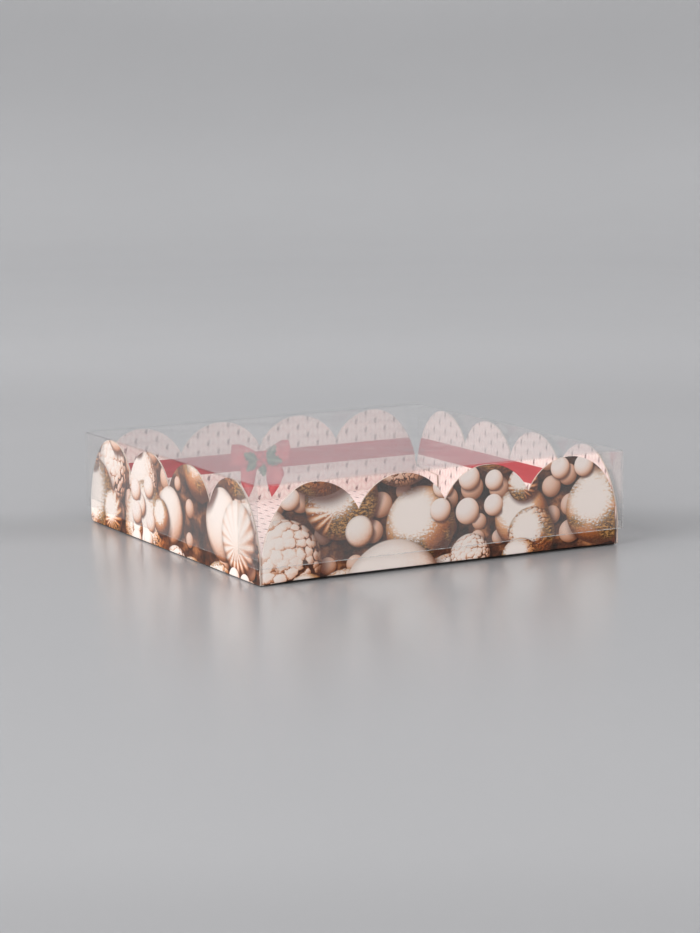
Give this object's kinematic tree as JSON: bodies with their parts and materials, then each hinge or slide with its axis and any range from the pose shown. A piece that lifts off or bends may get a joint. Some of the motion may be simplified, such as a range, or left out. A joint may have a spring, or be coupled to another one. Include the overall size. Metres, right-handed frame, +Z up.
{
  "type": "folded card gift tray with clear lift-off lid",
  "caption": "Low square card tray for biscuits with scalloped walls, glued corner flaps and a clear film lid that lifts straight off",
  "frame": {"origin": "Middle of the tray's underside, on the surface that it stands on", "axes": "+Z is up through the open top, +X runs along the front wall, and -Y faces the front"},
  "size_m": [0.1324, 0.1324, 0.0313],
  "materials": {
    "printed_card": "coated folding-box card, satin, warm white and brown ornament print",
    "lined_card": "inner face of the same card, pale pink knit print with a red ribbon band",
    "clear_film": "thin clear PVC film with sharp creases"
  },
  "bodies": {
    "tray": {"tray_base": "lined_card", "tray_wall_front": "printed_card", "tray_wall_back": "printed_card", "tray_wall_left": "printed_card", "tray_wall_right": "printed_card", "tray_flap_front_left": "lined_card", "tray_flap_front_right": "lined_card", "tray_flap_back_left": "lined_card", "tray_flap_back_right": "lined_card"},
    "lid": {"lid_top": "clear_film", "lid_skirt_front": "clear_film", "lid_skirt_back": "clear_film", "lid_skirt_left": "clear_film", "lid_skirt_right": "clear_film", "lid_flap_front_left": "clear_film", "lid_flap_front_right": "clear_film", "lid_flap_back_left": "clear_film", "lid_flap_back_right": "clear_film"}
  },
  "joints": [
    {"name": "lid_lift", "type": "slide", "parent": "tray", "child": "lid", "axis": [0, 0, 1], "range_m": [0, 0.06]}
  ]
}
